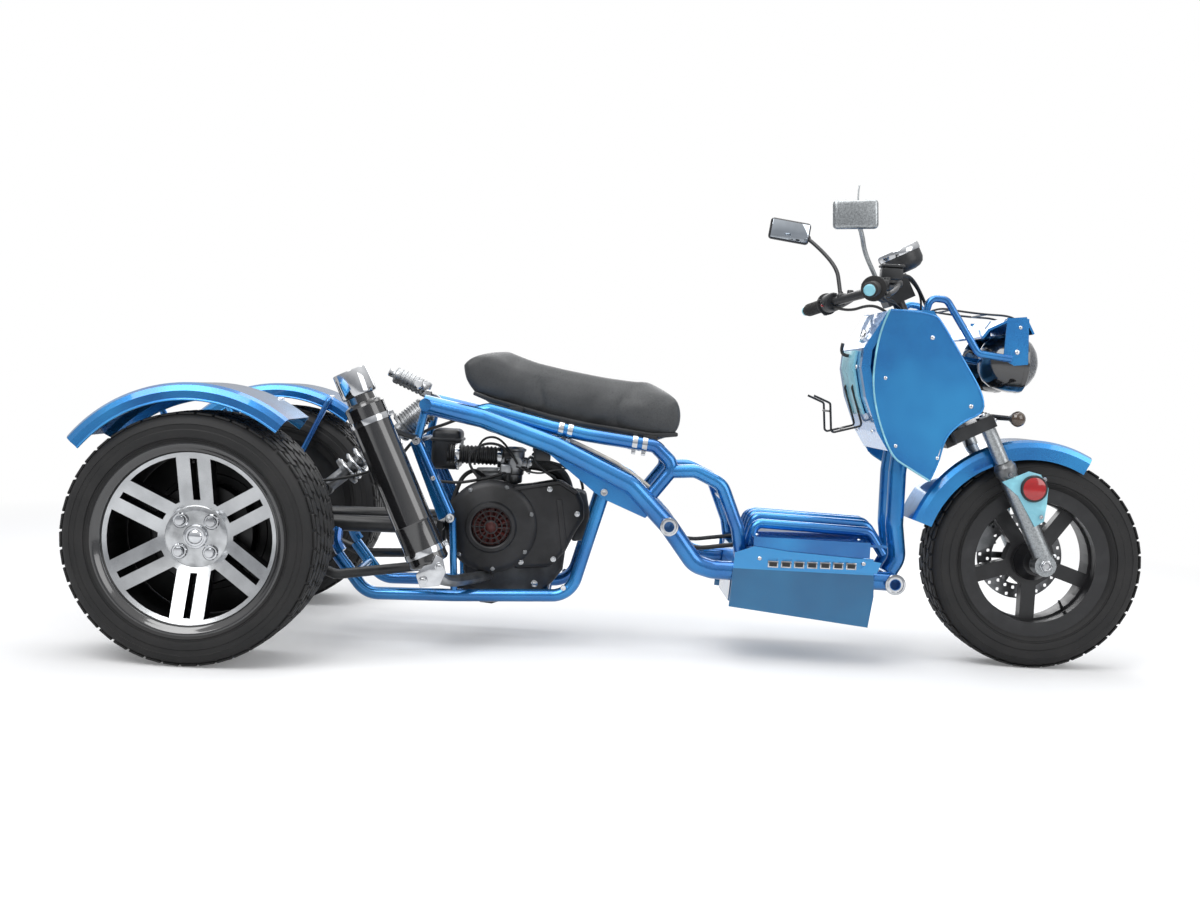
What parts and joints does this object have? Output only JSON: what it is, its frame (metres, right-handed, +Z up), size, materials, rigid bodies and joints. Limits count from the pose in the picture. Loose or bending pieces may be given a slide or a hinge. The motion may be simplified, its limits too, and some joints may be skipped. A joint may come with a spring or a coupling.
{
  "type": "trike scooter",
  "caption": "Low three-wheeled scooter with an open tube frame, steered front wheel, long saddle and two wide driven wheels.",
  "frame": {"origin": "on the ground, midway along and across the whole vehicle", "axes": "+X forward, +Y to the rider's left, +Z up"},
  "size_m": [2.2849, 1.033, 1.032],
  "materials": {
    "blue_paint": "glossy candy blue over bright base coat",
    "blue_panel": "smooth glossy blue",
    "tyre": "moulded black rubber",
    "alloy": "machined faces with black pockets",
    "black_alloy": "satin black cast wheel",
    "brake_steel": "ground disc",
    "seat_cover": "soft grained vinyl, dark grey",
    "engine_metal": "dark cast metal",
    "black_cover": "dark moulded cover",
    "exhaust_steel": "gloss black can with a bright tip",
    "spring_steel": "bright metal",
    "black_steel": "black painted steel",
    "chrome": "polished",
    "fork_metal": "grey cast lower leg",
    "grip_rubber": "ribbed rubber",
    "black_plastic": "fine grained plastic",
    "lamp_glass": "domed clear lens over a dark bowl",
    "red_lens": "prismatic red lens",
    "amber_lens": "smoked indicator",
    "mirror_glass": "black shell with a mirror face"
  },
  "bodies": {
    "frame": {"main_rail_left": "blue_paint", "main_rail_right": "blue_paint", "cross_tubes": "blue_paint", "upper_frame": "blue_paint", "engine_cradle": "blue_paint", "floorboard": "blue_paint", "side_skirts": "blue_paint", "battery_box": "blue_paint", "front_frame": "blue_paint", "engine": "engine_metal", "engine_cover": "black_cover", "intake": "black_plastic", "exhaust": "exhaust_steel", "rear_carrier": "black_steel", "shock_absorber": "spring_steel", "fender_left": "blue_paint", "fender_right": "blue_paint", "tail_lamp": "red_lens", "seat": "seat_cover", "shield_sides": "blue_panel", "inner_panel": "blue_panel", "front_panel": "blue_panel", "guard_bars": "blue_paint", "headlamps": "lamp_glass", "lamp_hood": "blue_panel", "cup_holder": "black_steel"},
    "steering": {"handlebar": "black_steel", "steering_stem": "black_steel", "fork_legs": "fork_metal", "front_axle": "chrome", "brake_caliper": "spring_steel", "fork_brackets": "blue_panel", "front_fender": "blue_panel", "grips": "grip_rubber", "brake_levers": "chrome", "speedometer": "black_plastic", "mirror_left": "mirror_glass", "mirror_right": "mirror_glass", "turn_signals": "amber_lens"},
    "front_wheel": {"front_tyre": "tyre", "front_rim": "black_alloy", "front_disc": "brake_steel"},
    "rear_wheel_left": {"rear_tyre_left": "tyre", "rear_rim_left": "alloy"},
    "rear_wheel_right": {"rear_tyre_right": "tyre", "rear_rim_right": "alloy"}
  },
  "joints": [
    {"name": "steer", "type": "hinge", "parent": "frame", "child": "steering", "pos_m": [0.7205, 0, 0.502], "axis": [-0.454, 0, 0.891], "range_deg": [-35, 35]},
    {"name": "front_wheel_turn", "type": "hinge", "parent": "steering", "child": "front_wheel", "pos_m": [0.8995, 0, 0.243], "axis": [0, 1, 0], "continuous": true},
    {"name": "rear_left_turn", "type": "hinge", "parent": "frame", "child": "rear_wheel_left", "pos_m": [-0.8945, 0.399, 0.248], "axis": [0, 1, 0], "continuous": true},
    {"name": "rear_right_turn", "type": "hinge", "parent": "frame", "child": "rear_wheel_right", "pos_m": [-0.8945, -0.399, 0.248], "axis": [0, 1, 0], "continuous": true}
  ]
}
